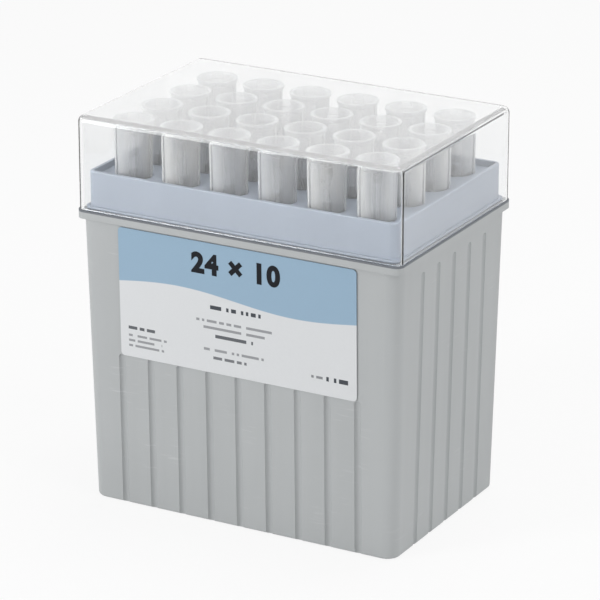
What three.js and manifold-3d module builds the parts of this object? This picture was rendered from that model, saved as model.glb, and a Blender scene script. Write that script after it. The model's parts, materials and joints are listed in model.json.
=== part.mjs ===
// A box of large pipette tips: a drafted base box, a tip tray that sits in its mouth, a clear lid on a
// moulded snap hinge at the back, a label on the front and 24 tips standing in the tray.
// Millimetres, +Z up. The origin is the centre of the flat underside. The label faces -Y, the hinge +Y.
import * as THREE from "three";
import { mergeVertices } from "three/addons/utils/BufferGeometryUtils.js";
import Module from "manifold-3d";

const wasm = await Module();
wasm.setup();

// ---------------------------------------------------------------- driving dimensions

// Tips, measured down from the top of the tip.
const TIP_LENGTH = 152;
const TIP_BODY_RADIUS = 7.23; // just under the head
const TIP_SHOULDER_STEP = 0.27; // the head's foot stands proud of the body
const TIP_HEAD_TAPER = 0.43; // and the head widens by this much up to the rim
const TIP_RIM_PROUD = 0.67; // the rim stands proud of the head
const TIP_RIM_HEIGHT = 1; // straight part of the rim
const TIP_RIM_TAPER = 1; // cone from the rim down to the head
const TIP_HEAD_HEIGHT = 22; // rim, ribs and shoulder
const TIP_NECK_DEPTH = 118.7; // where the nose starts
const TIP_NECK_RADIUS = 4.58;
const TIP_END_RADIUS = 1.25;
const TIP_BODY_WALL = 0.75;
const TIP_HEAD_WALL = 1;
const TIP_MOUTH_CHAMFER = 0.4;
const TIP_END_WALL = 0.5;
const RIB_COUNT = 6;
const RIB_WIDTH = 1;
const RIB_PROUD = 0.47; // the ribs stand proud of the top of the head
const TIP_SIDES = 12;

// How the tips stand.
const COLUMNS = 6; // along X
const ROWS = 4; // along Y
const PITCH = 22;
const TIP_END_GAP = 6.1; // from the end of a tip to the floor of the base

// Tray.
const TRAY_MARGIN_X = 14.5; // from the last tip's axis to the outside of the tray
const TRAY_WALL = 1.6;
const TRAY_FLOOR = 2.2;
const TRAY_RECESS = 2.7; // the floor lies this far below the top of the tray's wall
const TRAY_BAND = 16; // the wall stands this high above the base's rim
const TRAY_SKIRT = 7.5; // and reaches this far down into the mouth
const LIP_THICKNESS = 1.2;

// Base box.
const BODY_WALL = 2.3;
const BODY_FLOOR = 2.5;
const BODY_CORNER = 6;
const BODY_DRAFT = 2.4; // each side leans in by this much from the rim down to the underside
const FLANGE_LEDGE = 1.2; // the flange stands proud of the body
const FLANGE_THICKNESS = 3.5;
const FLANGE_CORNER = 3.5;
const GROOVE_PITCH = 13.5;
const GROOVE_WIDTH = 3.2; // at the surface
const GROOVE_FLOOR = 1.8; // width at the bottom of the groove
const GROOVE_DEPTH = 1.1;
const GROOVE_TOP_GAP = 5; // plain wall between the flange and a groove
const PLAIN_CORNER = 17; // plain wall between a corner and the first groove

// Label. It is as wide as the front's grooves, from the middle of the first to the middle of the last.
const LABEL_HEIGHT = 55;
const LABEL_THICKNESS = 0.3;
const LABEL_TOP_GAP = 0.8; // below the flange

// Lid.
const LID_WALL = 1.4;
const LID_TOP = 1.6;
const LID_HEADROOM = 2.2; // above the tips
const LID_INSET = 0.4; // from the flange's edge to the lid's outside

// Hinge.
const HINGE_PLACE = 45; // each hinge from the middle
const PIN_RADIUS = 1.5;
const KNUCKLE_WALL = 1.35;
const KNUCKLE_WIDTH = 10;
const SNAP_FIT = 0.6; // the knuckle's slot is this much narrower than the pin, so it snaps over it
const LID_OPENING = 110; // degrees; then the knuckles' heels meet the flange's back edge
const HEEL_THICKNESS = 1.8;
const EAR_WIDTH = 3;
const EAR_INSET = 0.5; // the ear's foot lies this far inside the flange's faces

// Clearances.
const SEAT_GAP = 0.3; // between a piece and what it rests on
const TRAY_CLEARANCE = 0.5; // around the tray's skirt in the mouth
const LIP_CLEARANCE = 1; // around the tray's lip in the lid
const TRAY_CORNER_CLEARANCE = 0.8; // the tray's corner radius is this much under the mouth's
const HOLE_CLEARANCE = 0.52; // around a tip's body in its hole
const PIN_CLEARANCE = 0.35;
const KNUCKLE_CLEARANCE = 0.5; // between a knuckle and an ear
const KNUCKLE_STANDOFF = 0.3; // between a knuckle and the lid's back wall
const KNUCKLE_RISE = 0.8; // between a knuckle and the rim
const STOP_CLEARANCE = 0.3; // between the open lid's heels and the flange
const SWING_CLEARANCE = 0.51; // between the front tips and the lid's front wall as it swings past

// Roundness.
const CORNER_STEPS = 5;
const ROUND_SIDES = 16;
const OVERSHOOT = 1; // how far a cutting shape runs past what it cuts

// ---------------------------------------------------------------- derived sizes

const tipShoulderRadius = TIP_BODY_RADIUS + TIP_SHOULDER_STEP;
const tipHeadRadius = tipShoulderRadius + TIP_HEAD_TAPER;
const tipRimRadius = tipHeadRadius + TIP_RIM_PROUD;
const ribRadius = tipHeadRadius + RIB_PROUD;
const holeRadius = TIP_BODY_RADIUS + HOLE_CLEARANCE;

const tipTop = BODY_FLOOR + TIP_END_GAP + TIP_LENGTH;
const trayFloorTop = tipTop - TIP_HEAD_HEIGHT - SEAT_GAP;
const trayTop = trayFloorTop + TRAY_RECESS;
const rimTop = trayTop - TRAY_BAND;
const flangeBottom = rimTop - FLANGE_THICKNESS;
const lidInnerTop = tipTop + LID_HEADROOM;
const lidTop = lidInnerTop + LID_TOP;
const grooveTop = flangeBottom - GROOVE_TOP_GAP;
const labelBottom = flangeBottom - LABEL_TOP_GAP - LABEL_HEIGHT;

const knuckleRadius = PIN_RADIUS + PIN_CLEARANCE + KNUCKLE_WALL;
const hingeBehindLid = KNUCKLE_STANDOFF + knuckleRadius;
const hingeAboveRim = KNUCKLE_RISE + knuckleRadius;
const lidOutsideTray = TRAY_CLEARANCE + BODY_WALL + FLANGE_LEDGE - LID_INSET;

const tray = {
  width: (COLUMNS - 1) * PITCH + 2 * TRAY_MARGIN_X,
  depth: 2 * (swingingHalfDepth() - lidOutsideTray),
};
const mouth = grown(tray, TRAY_CLEARANCE);
const bodyTop = grown(mouth, BODY_WALL);
const flange = grown(bodyTop, FLANGE_LEDGE);
const lid = grown(flange, -LID_INSET);
const lidInside = grown(lid, -LID_WALL);
const lip = grown(lidInside, -LIP_CLEARANCE);

const trayCorner = BODY_CORNER - BODY_WALL - TRAY_CORNER_CLEARANCE;
const labelWidth = (grooveCount(bodyTop.width) - 1) * GROOVE_PITCH;

const hinge = { y: lid.depth / 2 + hingeBehindLid, z: rimTop + hingeAboveRim };
const frontLean = Math.atan(BODY_DRAFT / rimTop);

// ---------------------------------------------------------------- shapes and solids

/**
 * Half the lid's depth at which the foot of its front wall, on its way up round the hinge, just
 * clears the rims of the front tips. It is the larger root of a quadratic in that half depth.
 */
function swingingHalfDepth() {
  const tipReach = ((ROWS - 1) / 2) * PITCH + tipRimRadius + SWING_CLEARANCE;
  const rise = tipTop - rimTop - hingeAboveRim;
  const drop = hingeAboveRim - SEAT_GAP;
  const half = 2 * LID_WALL + tipReach - hingeBehindLid;
  const product = (LID_WALL + tipReach) * (2 * hingeBehindLid - LID_WALL + tipReach);
  return (half + Math.sqrt(half ** 2 + 3 * (product + rise ** 2 - drop ** 2))) / 3;
}

/** A rectangle moved outwards by a distance on every side. */
function grown(size, distance) {
  return { width: size.width + 2 * distance, depth: size.depth + 2 * distance };
}

/** The points of a rounded rectangle about the origin, counter-clockwise. */
function roundedOutline({ width, depth }, radius) {
  const points = [];
  const centres = [
    [1, 1],
    [-1, 1],
    [-1, -1],
    [1, -1],
  ];
  centres.forEach(([sx, sy], corner) => {
    for (let step = 0; step <= CORNER_STEPS; step += 1) {
      const angle = (corner + step / CORNER_STEPS) * (Math.PI / 2);
      const x = sx * (width / 2 - radius) + radius * Math.cos(angle);
      const y = sy * (depth / 2 - radius) + radius * Math.sin(angle);
      points.push(new THREE.Vector2(x, y));
    }
  });
  return points;
}

/** A closed geometry between two outlines of as many points, the first one below. */
function loft(low, zLow, high, zHigh) {
  const count = low.length;
  const positions = [];
  low.forEach((p) => positions.push(p.x, p.y, zLow));
  high.forEach((p) => positions.push(p.x, p.y, zHigh));
  const faces = [];
  for (let i = 0; i < count; i += 1) {
    const next = (i + 1) % count;
    faces.push(i, next, count + next, i, count + next, count + i);
  }
  THREE.ShapeUtils.triangulateShape(low, []).forEach(([a, b, c]) => {
    faces.push(a, c, b);
    faces.push(count + a, count + b, count + c);
  });
  const geometry = new THREE.BufferGeometry();
  geometry.setAttribute("position", new THREE.Float32BufferAttribute(positions, 3));
  geometry.setIndex(faces);
  return geometry;
}

/** A flat plate with an outline, between two heights. */
function plate(outline, zLow, zHigh) {
  return loft(outline, zLow, outline, zHigh);
}

/** A rectangular block between two corners. */
function block(low, high) {
  const size = high.map((value, axis) => value - low[axis]);
  const middle = high.map((value, axis) => (value + low[axis]) / 2);
  return new THREE.BoxGeometry(...size).translate(...middle);
}

/** A cylinder along X about the hinge axis, with a given middle. */
function hingeCylinder(radius, width, x) {
  return new THREE.CylinderGeometry(radius, radius, width, ROUND_SIDES)
    .rotateZ(Math.PI / 2)
    .translate(x, hinge.y, hinge.z);
}

/** The solid of a closed geometry, which can be joined and cut. */
function solidOf(geometry) {
  const bare = geometry.clone();
  bare.deleteAttribute("normal");
  bare.deleteAttribute("uv");
  const merged = mergeVertices(bare, 1e-4);
  return new wasm.Manifold(
    new wasm.Mesh({
      numProp: 3,
      vertProperties: merged.getAttribute("position").array,
      triVerts: new Uint32Array(merged.index.array),
    }),
  );
}

/** The three.js geometry of a solid. */
function geometryOf(solid) {
  const { vertProperties, triVerts } = solid.getMesh();
  const geometry = new THREE.BufferGeometry();
  geometry.setAttribute("position", new THREE.BufferAttribute(vertProperties, 3));
  geometry.setIndex(new THREE.BufferAttribute(triVerts, 1));
  return geometry;
}

/** A named mesh with its own material. */
function piece(name, geometry, look) {
  const mesh = new THREE.Mesh(geometry, new THREE.MeshStandardMaterial(look));
  mesh.name = name;
  return mesh;
}

// ---------------------------------------------------------------- base box

/** The body's rectangle at a height, moved inwards by an inset. */
function bodyAt(z, inset) {
  const lean = BODY_DRAFT * (1 - z / rimTop);
  return grown(bodyTop, -lean - inset);
}

/** The drafted body between two heights, moved inwards by an inset. */
function bodySolid(zLow, zHigh, inset) {
  const radius = BODY_CORNER - inset;
  const low = roundedOutline(bodyAt(zLow, inset), radius);
  const high = roundedOutline(bodyAt(zHigh, inset), radius);
  return solidOf(loft(low, zLow, high, zHigh));
}

/** How many grooves a face of a given width carries between its plain corners. */
function grooveCount(faceWidth) {
  return Math.floor((faceWidth - 2 * PLAIN_CORNER) / GROOVE_PITCH) + 1;
}

/** One groove's cutting shape on the front face, at x, between two heights. */
function grooveCutter(x, zLow, zHigh) {
  const flare = (GROOVE_WIDTH - GROOVE_FLOOR) / (2 * GROOVE_DEPTH);
  const mouthHalf = GROOVE_FLOOR / 2 + flare * (GROOVE_DEPTH + OVERSHOOT);
  const section = [
    new THREE.Vector2(x - mouthHalf, -OVERSHOOT),
    new THREE.Vector2(x + mouthHalf, -OVERSHOOT),
    new THREE.Vector2(x + GROOVE_FLOOR / 2, GROOVE_DEPTH),
    new THREE.Vector2(x - GROOVE_FLOOR / 2, GROOVE_DEPTH),
  ];
  return plate(section, zLow, zHigh);
}

/** The grooves of one face, cut into the body, after the face is turned to look along -Y. */
function cutGrooves(body, { faceWidth, faceOffset, turn, zTop }) {
  const count = grooveCount(faceWidth);
  let cut = body;
  for (let i = 0; i < count; i += 1) {
    const x = (i - (count - 1) / 2) * GROOVE_PITCH;
    const cutter = grooveCutter(x, -rimTop - OVERSHOOT, zTop - rimTop)
      .rotateX(frontLean)
      .translate(0, -faceOffset, rimTop)
      .rotateZ(turn);
    cut = cut.subtract(solidOf(cutter));
  }
  return cut;
}

/** One ear's outline in the YZ plane: a foot in the flange and a round end about the axis. */
function earGeometry(x) {
  const back = flange.depth / 2;
  const outline = new THREE.Shape();
  outline.moveTo(back - OVERSHOOT, flangeBottom + EAR_INSET);
  outline.lineTo(hinge.y, flangeBottom + EAR_INSET);
  outline.absarc(hinge.y, hinge.z, knuckleRadius, -Math.PI / 3, Math.PI, false);
  outline.lineTo(hinge.y - knuckleRadius, rimTop - EAR_INSET);
  outline.lineTo(back - OVERSHOOT, rimTop - EAR_INSET);
  const geometry = new THREE.ExtrudeGeometry(outline, {
    depth: EAR_WIDTH,
    bevelEnabled: false,
    curveSegments: ROUND_SIDES / 2,
  });
  // The shape's own X and Y become Y and Z, and the extrusion runs along X.
  geometry.applyMatrix4(new THREE.Matrix4().set(0, 0, 1, 0, 1, 0, 0, 0, 0, 1, 0, 0, 0, 0, 0, 1));
  return geometry.translate(x - EAR_WIDTH / 2, 0, 0);
}

/** The pin and the two ears of one hinge, on the base. */
function hingePost(x) {
  const earOffset = KNUCKLE_WIDTH / 2 + KNUCKLE_CLEARANCE + EAR_WIDTH / 2;
  const pin = solidOf(hingeCylinder(PIN_RADIUS, 2 * earOffset, x));
  const left = solidOf(earGeometry(x - earOffset));
  const right = solidOf(earGeometry(x + earOffset));
  return pin.add(left).add(right);
}

/** The base box: a drafted tub with a flange, grooves on its faces and the hinge posts. */
function baseBox() {
  const faces = [
    { faceWidth: bodyTop.width, faceOffset: bodyTop.depth / 2, turn: 0, zTop: labelBottom },
    { faceWidth: bodyTop.width, faceOffset: bodyTop.depth / 2, turn: Math.PI, zTop: grooveTop },
    { faceWidth: bodyTop.depth, faceOffset: bodyTop.width / 2, turn: Math.PI / 2, zTop: grooveTop },
    { faceWidth: bodyTop.depth, faceOffset: bodyTop.width / 2, turn: -Math.PI / 2, zTop: grooveTop },
  ];
  const body = faces.reduce(cutGrooves, bodySolid(0, rimTop, 0));
  const ring = solidOf(plate(roundedOutline(flange, FLANGE_CORNER), flangeBottom, rimTop));
  const cavity = bodySolid(BODY_FLOOR, rimTop + OVERSHOOT, BODY_WALL);
  const tub = body.add(ring).subtract(cavity);
  return tub.add(hingePost(-HINGE_PLACE)).add(hingePost(HINGE_PLACE));
}

// ---------------------------------------------------------------- label

/** The label: a thin sheet that leans with the front face. */
function labelGeometry() {
  const middle = labelBottom + LABEL_HEIGHT / 2;
  const face = -bodyAt(middle, 0).depth / 2;
  return new THREE.BoxGeometry(labelWidth, LABEL_THICKNESS, LABEL_HEIGHT)
    .rotateX(frontLean)
    .translate(0, face - SEAT_GAP - LABEL_THICKNESS / 2, middle);
}

// ---------------------------------------------------------------- tray

/** The middle of a tip, by its row from the front and its column from the left. */
function tipPlace(row, column) {
  return {
    x: (column - (COLUMNS - 1) / 2) * PITCH,
    y: (row - (ROWS - 1) / 2) * PITCH,
  };
}

/** Every row and column of the tray, in order. */
function places() {
  const all = [];
  for (let row = 0; row < ROWS; row += 1) {
    for (let column = 0; column < COLUMNS; column += 1) {
      all.push({ row, column, ...tipPlace(row, column) });
    }
  }
  return all;
}

/** The tray: a wall with a skirt in the mouth, a lip on the rim, and a floor with a hole for each tip. */
function tipTray() {
  const outside = roundedOutline(tray, trayCorner);
  const inside = roundedOutline(grown(tray, -TRAY_WALL), trayCorner - TRAY_WALL);
  const lipOutline = roundedOutline(lip, trayCorner);
  const skirtBottom = rimTop - TRAY_SKIRT;
  const lipBottom = rimTop + SEAT_GAP;
  const wall = solidOf(plate(outside, skirtBottom, trayTop));
  const lipPlate = solidOf(plate(lipOutline, lipBottom, lipBottom + LIP_THICKNESS));
  const above = solidOf(plate(inside, trayFloorTop, trayTop + OVERSHOOT));
  const below = solidOf(plate(inside, skirtBottom - OVERSHOOT, trayFloorTop - TRAY_FLOOR));
  const shell = wall.add(lipPlate).subtract(above).subtract(below);
  const drill = new THREE.CylinderGeometry(holeRadius, holeRadius, 2 * TRAY_FLOOR, ROUND_SIDES)
    .rotateX(Math.PI / 2)
    .translate(0, 0, trayFloorTop - TRAY_FLOOR / 2);
  return places().reduce((drilled, { x, y }) => {
    return drilled.subtract(solidOf(drill.clone().translate(x, y, 0)));
  }, shell);
}

// ---------------------------------------------------------------- lid

/** One C-shaped knuckle of the lid, with the web to the lid's back wall and the heel that stops it. */
function knuckle(x) {
  const half = KNUCKLE_WIDTH / 2;
  const reach = knuckleRadius + OVERSHOOT;
  const slotWidth = 2 * PIN_RADIUS - SNAP_FIT;
  const opening = THREE.MathUtils.degToRad(LID_OPENING);
  const stopGap = hinge.y - flange.depth / 2 - STOP_CLEARANCE;
  const heelReach = (stopGap - (HEEL_THICKNESS / 2) * Math.sin(opening)) / -Math.cos(opening);
  const barrel = solidOf(hingeCylinder(knuckleRadius, KNUCKLE_WIDTH, x));
  const web = block(
    [x - half, lid.depth / 2 - LID_WALL / 2, hinge.z],
    [x + half, hinge.y, hinge.z + knuckleRadius],
  );
  const heel = block(
    [x - half, hinge.y + PIN_RADIUS, hinge.z - HEEL_THICKNESS / 2],
    [x + half, hinge.y + heelReach, hinge.z + HEEL_THICKNESS / 2],
  );
  const bore = hingeCylinder(PIN_RADIUS + PIN_CLEARANCE, KNUCKLE_WIDTH + 2 * OVERSHOOT, x);
  const slot = block(
    [x - half - OVERSHOOT, hinge.y - slotWidth / 2, hinge.z - reach],
    [x + half + OVERSHOOT, hinge.y + slotWidth / 2, hinge.z],
  );
  const whole = barrel.add(solidOf(web)).add(solidOf(heel));
  return whole.subtract(solidOf(bore)).subtract(solidOf(slot));
}

/** The clear lid: a cover that stands on the flange around the tray, with two knuckles. */
function lidSolid() {
  const bottom = rimTop + SEAT_GAP;
  const outside = roundedOutline(lid, FLANGE_CORNER);
  const inside = roundedOutline(lidInside, FLANGE_CORNER - LID_WALL);
  const cover = solidOf(plate(outside, bottom, lidTop));
  const hollow = solidOf(plate(inside, bottom - OVERSHOOT, lidInnerTop));
  return cover.subtract(hollow).add(knuckle(-HINGE_PLACE)).add(knuckle(HINGE_PLACE));
}

// ---------------------------------------------------------------- tips

/** The tip's wall, turned about its axis, with its top at the height tipTop. */
function tipWall() {
  const headDepth = TIP_RIM_HEIGHT + TIP_RIM_TAPER;
  const profile = [
    [tipRimRadius, 0],
    [tipRimRadius, TIP_RIM_HEIGHT],
    [tipHeadRadius, headDepth],
    [tipShoulderRadius, TIP_HEAD_HEIGHT],
    [TIP_BODY_RADIUS, TIP_HEAD_HEIGHT],
    [TIP_NECK_RADIUS, TIP_NECK_DEPTH],
    [TIP_END_RADIUS, TIP_LENGTH],
    [TIP_END_RADIUS - TIP_END_WALL, TIP_LENGTH],
    [TIP_NECK_RADIUS - TIP_BODY_WALL, TIP_NECK_DEPTH],
    [tipShoulderRadius - TIP_HEAD_WALL, TIP_HEAD_HEIGHT],
    [tipHeadRadius - TIP_HEAD_WALL, headDepth],
    [tipHeadRadius - TIP_HEAD_WALL + TIP_MOUTH_CHAMFER, 0],
  ].map(([radius, depth]) => new THREE.Vector2(radius, tipTop - depth));
  profile.push(profile[0].clone());
  profile.reverse();
  return new THREE.LatheGeometry(profile, TIP_SIDES).rotateX(Math.PI / 2);
}

/** One tip about the Z axis: the wall with its ribs, whose lower ends stand on the tray. */
function tipSolid() {
  const root = tipShoulderRadius - TIP_HEAD_WALL / 2;
  const ribTop = tipTop - TIP_RIM_HEIGHT;
  const rib = block(
    [root, -RIB_WIDTH / 2, tipTop - TIP_HEAD_HEIGHT],
    [ribRadius, RIB_WIDTH / 2, ribTop],
  );
  let solid = solidOf(tipWall());
  for (let i = 0; i < RIB_COUNT; i += 1) {
    const angle = (i / RIB_COUNT) * 2 * Math.PI;
    solid = solid.add(solidOf(rib.clone().rotateZ(angle)));
  }
  return solid;
}

// ---------------------------------------------------------------- the whole box

const BASE_LOOK = { color: 0xb1b4b5, roughness: 0.45, metalness: 0 };
const TRAY_LOOK = { color: 0x9ea8ba, roughness: 0.4, metalness: 0 };
const LABEL_LOOK = { color: 0xd6d8d9, roughness: 0.6, metalness: 0 };
const LID_LOOK = { color: 0xf2f5f6, roughness: 0.08, metalness: 0, transparent: true, opacity: 0.25 };
const TIP_LOOK = { color: 0xd8dbd9, roughness: 0.3, metalness: 0, transparent: true, opacity: 0.7 };

const box = new THREE.Group();
box.add(piece("base_box", geometryOf(baseBox()), BASE_LOOK));
box.add(piece("tip_tray", geometryOf(tipTray()), TRAY_LOOK));
box.add(piece("lid", geometryOf(lidSolid()), LID_LOOK));
box.add(piece("label", labelGeometry(), LABEL_LOOK));

const tipGeometry = geometryOf(tipSolid());
places().forEach(({ row, column, x, y }) => {
  const rowLetter = String.fromCharCode("a".charCodeAt(0) + row);
  const tip = piece(`tip_${rowLetter}${column + 1}`, tipGeometry, TIP_LOOK);
  tip.position.set(x, y, 0);
  box.add(tip);
});

export default box;
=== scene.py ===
"""A box of large pipette tips: a moulded base, a tray, a clear hinged lid, a label and 24 tips.

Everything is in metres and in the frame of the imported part: +Z is up, the label looks towards -Y
and the hinge is at +Y. Each piece is modelled where its solid is, and stands for that solid.
"""

import json
import logging
import math
from collections.abc import Callable, Iterable, Iterator
from contextlib import contextmanager
from dataclasses import dataclass
from enum import Enum
from typing import TypeAlias

import bmesh
import bpy
from mathutils import Matrix, Vector


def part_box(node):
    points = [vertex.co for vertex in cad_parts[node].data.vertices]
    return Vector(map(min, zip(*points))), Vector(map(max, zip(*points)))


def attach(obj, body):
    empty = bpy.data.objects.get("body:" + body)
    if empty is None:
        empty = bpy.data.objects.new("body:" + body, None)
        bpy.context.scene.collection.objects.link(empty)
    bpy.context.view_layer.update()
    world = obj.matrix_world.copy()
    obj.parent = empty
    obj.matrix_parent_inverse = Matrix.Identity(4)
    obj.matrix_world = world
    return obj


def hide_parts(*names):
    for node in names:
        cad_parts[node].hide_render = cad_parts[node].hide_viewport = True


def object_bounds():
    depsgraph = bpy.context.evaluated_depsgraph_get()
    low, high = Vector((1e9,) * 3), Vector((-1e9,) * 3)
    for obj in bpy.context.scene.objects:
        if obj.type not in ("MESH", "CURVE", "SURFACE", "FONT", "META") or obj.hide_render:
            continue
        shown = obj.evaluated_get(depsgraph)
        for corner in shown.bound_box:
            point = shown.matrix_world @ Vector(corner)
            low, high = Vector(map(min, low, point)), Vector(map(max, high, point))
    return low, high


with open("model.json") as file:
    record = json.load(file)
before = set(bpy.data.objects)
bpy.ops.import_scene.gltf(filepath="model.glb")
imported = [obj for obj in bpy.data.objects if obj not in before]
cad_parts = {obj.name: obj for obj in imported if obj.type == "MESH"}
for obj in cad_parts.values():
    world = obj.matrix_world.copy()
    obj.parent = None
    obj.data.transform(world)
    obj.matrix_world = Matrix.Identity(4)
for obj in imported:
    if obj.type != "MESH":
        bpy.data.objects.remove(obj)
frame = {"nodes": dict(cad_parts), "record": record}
CAD_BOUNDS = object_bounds()

LOG = logging.getLogger("tip_box")
MM = 0.001
TOUCH = 1e-6  # points this near to each other are one point
SEAT = 0.3 * MM  # between a piece and what it rests on
OVERCUT = 1.0 * MM  # how far a cutting shape runs past what it cuts
TIP_HEAD = 22.0 * MM  # from a tip's mouth down to the foot of its head
PLASTIC_IOR = 1.49
WHITE = (1.0, 1.0, 1.0, 1.0)

Colour: TypeAlias = tuple[float, float, float, float]
Amount: TypeAlias = "Signal | float"
Corner: TypeAlias = bmesh.types.BMVert | bmesh.types.BMEdge | bmesh.types.BMFace


class Body(Enum):
    """The bodies that pieces ride on."""

    BOX = "box"
    LID = "lid"


class Slot(Enum):
    """The material slots of the record."""

    BASE = "base"
    TRAY = "tray"
    LID = "lid"
    LABEL = "label"
    TIPS = "tips"


class Pick(Enum):
    """What a selection in edit mode is made of."""

    VERTS = "VERT"
    EDGES = "EDGE"
    FACES = "FACE"


class Weld(Enum):
    """How one solid works on another."""

    ADD = "UNION"
    CUT = "DIFFERENCE"


@dataclass(frozen=True)
class Place:
    """The lowest and highest corners of a solid at rest."""

    low: Vector
    high: Vector

    @classmethod
    def of(cls, node: str) -> "Place":
        """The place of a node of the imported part."""
        return cls(*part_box(node))

    @property
    def middle(self) -> Vector:
        """The point half way between the two corners."""
        return (self.low + self.high) / 2


# ------------------------------------------------------------------------------- modelling


def choose_none() -> None:
    """Leaves nothing selected."""
    bpy.ops.object.select_all(action="DESELECT")


def choose_only(obj: bpy.types.Object) -> None:
    """Makes one object the selected and active one.

    Args:
        obj: The object.
    """
    choose_none()
    obj.select_set(True)
    bpy.context.view_layer.objects.active = obj


def runs_along(axis: int) -> Callable[[bmesh.types.BMEdge], bool]:
    """A test for edges that run along an axis, give or take a slight lean.

    Args:
        axis: 0, 1 or 2 for X, Y or Z.

    Returns:
        A function that takes an edge.
    """

    def test(edge: bmesh.types.BMEdge) -> bool:
        """Says whether an edge does."""
        run = edge.verts[1].co - edge.verts[0].co
        return abs(run[axis]) > 0.99 * run.length

    return test


def lies_at(height: float) -> Callable[[Corner], bool]:
    """A test for vertices, edges and faces that lie at one height.

    Args:
        height: The height along Z, in metres.

    Returns:
        A function that takes one of them.
    """

    def test(part: Corner) -> bool:
        """Says whether all of a part does."""
        corners = [part] if isinstance(part, bmesh.types.BMVert) else part.verts
        return all(abs(v.co.z - height) < TOUCH for v in corners)

    return test


class Workpiece:
    """A mesh object on the bench, with the moves that shape it."""

    def __init__(self, obj: bpy.types.Object) -> None:
        """Takes an object whose place is already in its mesh."""
        self.obj = obj

    @classmethod
    def fresh(cls, name: str) -> "Workpiece":
        """Takes up the object that was just added, with its place put into its mesh.

        Args:
            name: The object's name.

        Returns:
            The new workpiece.
        """
        obj = bpy.context.active_object
        obj.name = obj.data.name = name
        choose_only(obj)
        bpy.ops.object.transform_apply(location=True, rotation=True, scale=True)
        return cls(obj)

    @classmethod
    def block(cls, name: str, low: Iterable[float], high: Iterable[float]) -> "Workpiece":
        """A block between two corners.

        Args:
            name: The object's name.
            low: The lowest corner, in metres.
            high: The highest corner, in metres.

        Returns:
            The new workpiece.
        """
        low, high = Vector(low), Vector(high)
        choose_none()
        bpy.ops.mesh.primitive_cube_add(size=1, location=(low + high) / 2, scale=high - low)
        return cls.fresh(name)

    @classmethod
    def rounded_block(
        cls, name: str, half: Vector, low: float, high: float, corner: float, steps: int = 10
    ) -> "Workpiece":
        """A block about the Z axis whose four upright edges are rounded.

        Args:
            name: The object's name.
            half: Half its size along X and Y.
            low: The height of its underside.
            high: The height of its top.
            corner: The radius of the upright edges.
            steps: How many facets make each corner.

        Returns:
            The new workpiece.
        """
        piece = cls.block(name, (-half.x, -half.y, low), (half.x, half.y, high))
        piece.round_edges(runs_along(2), corner, steps)
        return piece

    @classmethod
    def rod(
        cls, name: str, radius: float, start: Iterable[float], end: Iterable[float], sides: int
    ) -> "Workpiece":
        """A round rod between two points.

        Args:
            name: The object's name.
            radius: The rod's radius.
            start: The middle of one end.
            end: The middle of the other end.
            sides: How many facets go round it.

        Returns:
            The new workpiece.
        """
        start, end = Vector(start), Vector(end)
        run = end - start
        choose_none()
        bpy.ops.mesh.primitive_cylinder_add(
            vertices=sides,
            radius=radius,
            depth=run.length,
            location=(start + end) / 2,
            rotation=run.to_track_quat("Z", "Y").to_euler(),
        )
        return cls.fresh(name)

    @classmethod
    def turned(cls, name: str, profile: list[tuple[float, float]], sides: int) -> "Workpiece":
        """A hollow shape turned about the Z axis, drawn out ring by ring.

        Args:
            name: The object's name.
            profile: The radius and height of each ring, in order round the wall's section. The
                wall closes from the last ring to the first.
            sides: How many facets go round it.

        Returns:
            The new workpiece.
        """
        radius, height = profile[0]
        choose_none()
        bpy.ops.mesh.primitive_circle_add(vertices=sides, radius=radius, location=(0, 0, height))
        piece = cls.fresh(name)
        with piece.editing():
            piece.pick(Pick.EDGES, lambda _: True)
            for next_radius, next_height in [*profile[1:], profile[0]]:
                bpy.ops.mesh.extrude_region_move(
                    TRANSFORM_OT_translate={"value": (0, 0, next_height - height)}
                )
                size = next_radius / radius
                bpy.ops.transform.resize(
                    value=(size, size, 1), center_override=(0, 0, next_height)
                )
                radius, height = next_radius, next_height
            bpy.ops.mesh.select_all(action="SELECT")
            bpy.ops.mesh.remove_doubles(threshold=TOUCH)
            bpy.ops.mesh.normals_make_consistent(inside=False)
        return piece

    @contextmanager
    def editing(self) -> Iterator[None]:
        """Holds this workpiece in edit mode, with nothing selected at the start.

        Returns:
            A context to work in.
        """
        choose_only(self.obj)
        bpy.ops.object.mode_set(mode="EDIT")
        bpy.ops.mesh.select_all(action="DESELECT")
        yield
        bpy.ops.object.mode_set(mode="OBJECT")

    def pick(self, what: Pick, test: Callable[[Corner], bool]) -> None:
        """Selects the vertices, edges or faces that pass a test, in edit mode.

        Args:
            what: Which of the three to go through.
            test: Takes one of them and says whether it is wanted.
        """
        bpy.ops.mesh.select_mode(type=what.value)
        bpy.ops.mesh.select_all(action="DESELECT")
        mesh = bmesh.from_edit_mesh(self.obj.data)
        mesh.normal_update()
        parts = {Pick.VERTS: mesh.verts, Pick.EDGES: mesh.edges, Pick.FACES: mesh.faces}[what]
        for part in parts:
            if test(part):
                part.select_set(True)
        bmesh.update_edit_mesh(self.obj.data)

    def hollow(self, height: float, wall: float, depth: float) -> None:
        """Sinks the flat face at a height, and leaves a wall round it.

        Args:
            height: The height of the face.
            wall: How much of its edge stays.
            depth: How far the rest moves along Z.
        """
        with self.editing():
            self.pick(Pick.FACES, lies_at(height))
            bpy.ops.mesh.inset(thickness=wall, depth=0)
            bpy.ops.mesh.extrude_region_move(TRANSFORM_OT_translate={"value": (0, 0, depth)})

    def resize_at(self, height: float, across: float, deep: float) -> None:
        """Resizes what lies at a height about the Z axis.

        Args:
            height: The height of the vertices.
            across: The factor along X.
            deep: The factor along Y.
        """
        with self.editing():
            self.pick(Pick.VERTS, lies_at(height))
            bpy.ops.transform.resize(value=(across, deep, 1), center_override=(0, 0, height))

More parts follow.
